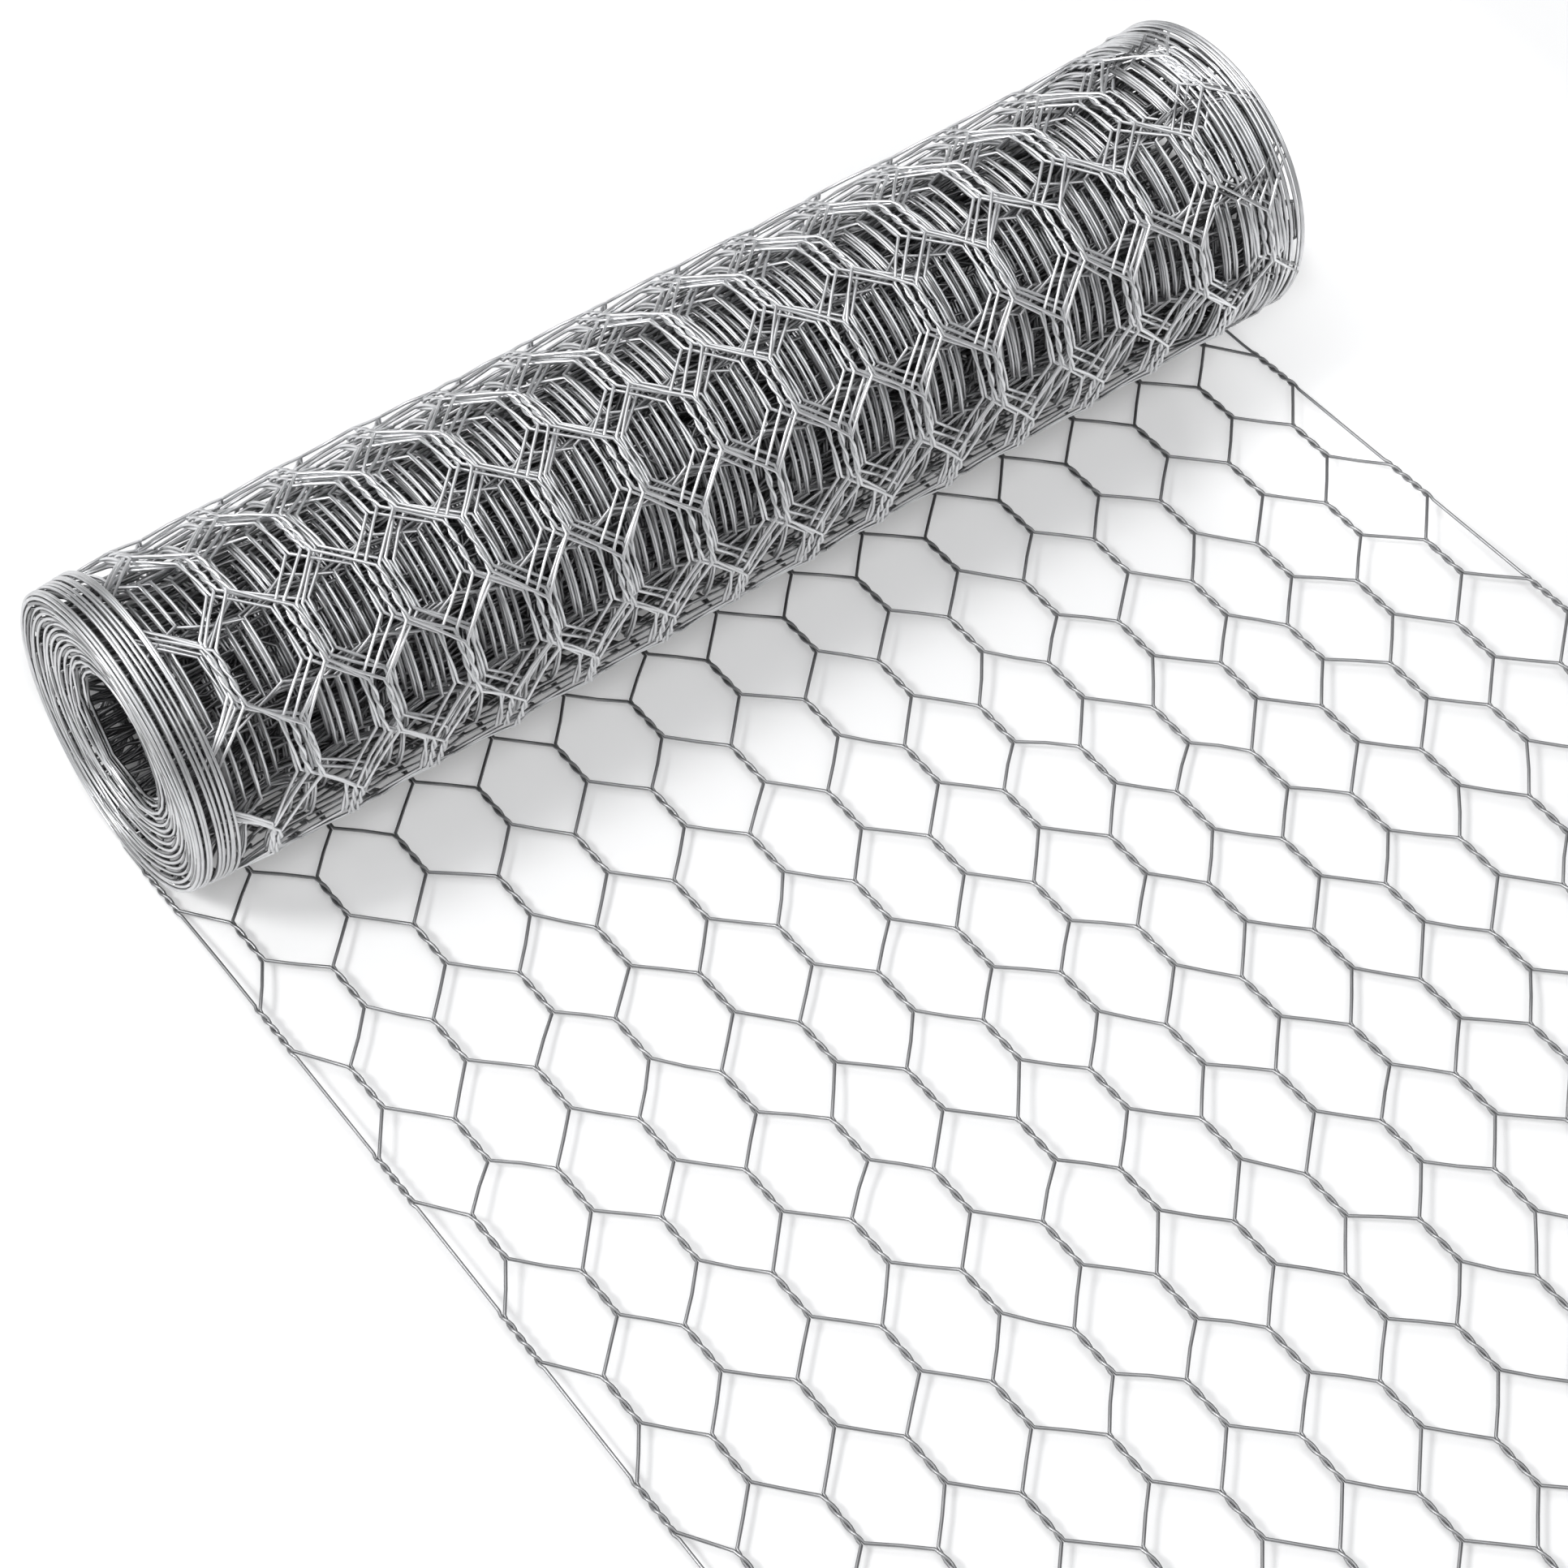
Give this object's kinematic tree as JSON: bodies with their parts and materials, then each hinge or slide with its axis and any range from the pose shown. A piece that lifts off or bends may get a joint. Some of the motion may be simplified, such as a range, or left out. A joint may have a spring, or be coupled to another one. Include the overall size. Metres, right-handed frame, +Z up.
{
  "type": "roll of chicken wire",
  "caption": "Roll of galvanized hexagonal wire netting lying on its side, open at the core, with a stretch of netting pulled out flat in front of it.",
  "frame": {"origin": "on the floor, under the middle of the whole object's box", "axes": "+X along the roll's axis, +Y from the flat run towards the roll, +Z up"},
  "size_m": [0.3514, 0.427, 0.0845],
  "materials": {
    "galvanized_wire": "galvanized, satin with bright and dull patches"
  },
  "bodies": {
    "root": {"roll": "galvanized_wire", "flat_run": "galvanized_wire"}
  },
  "joints": []
}
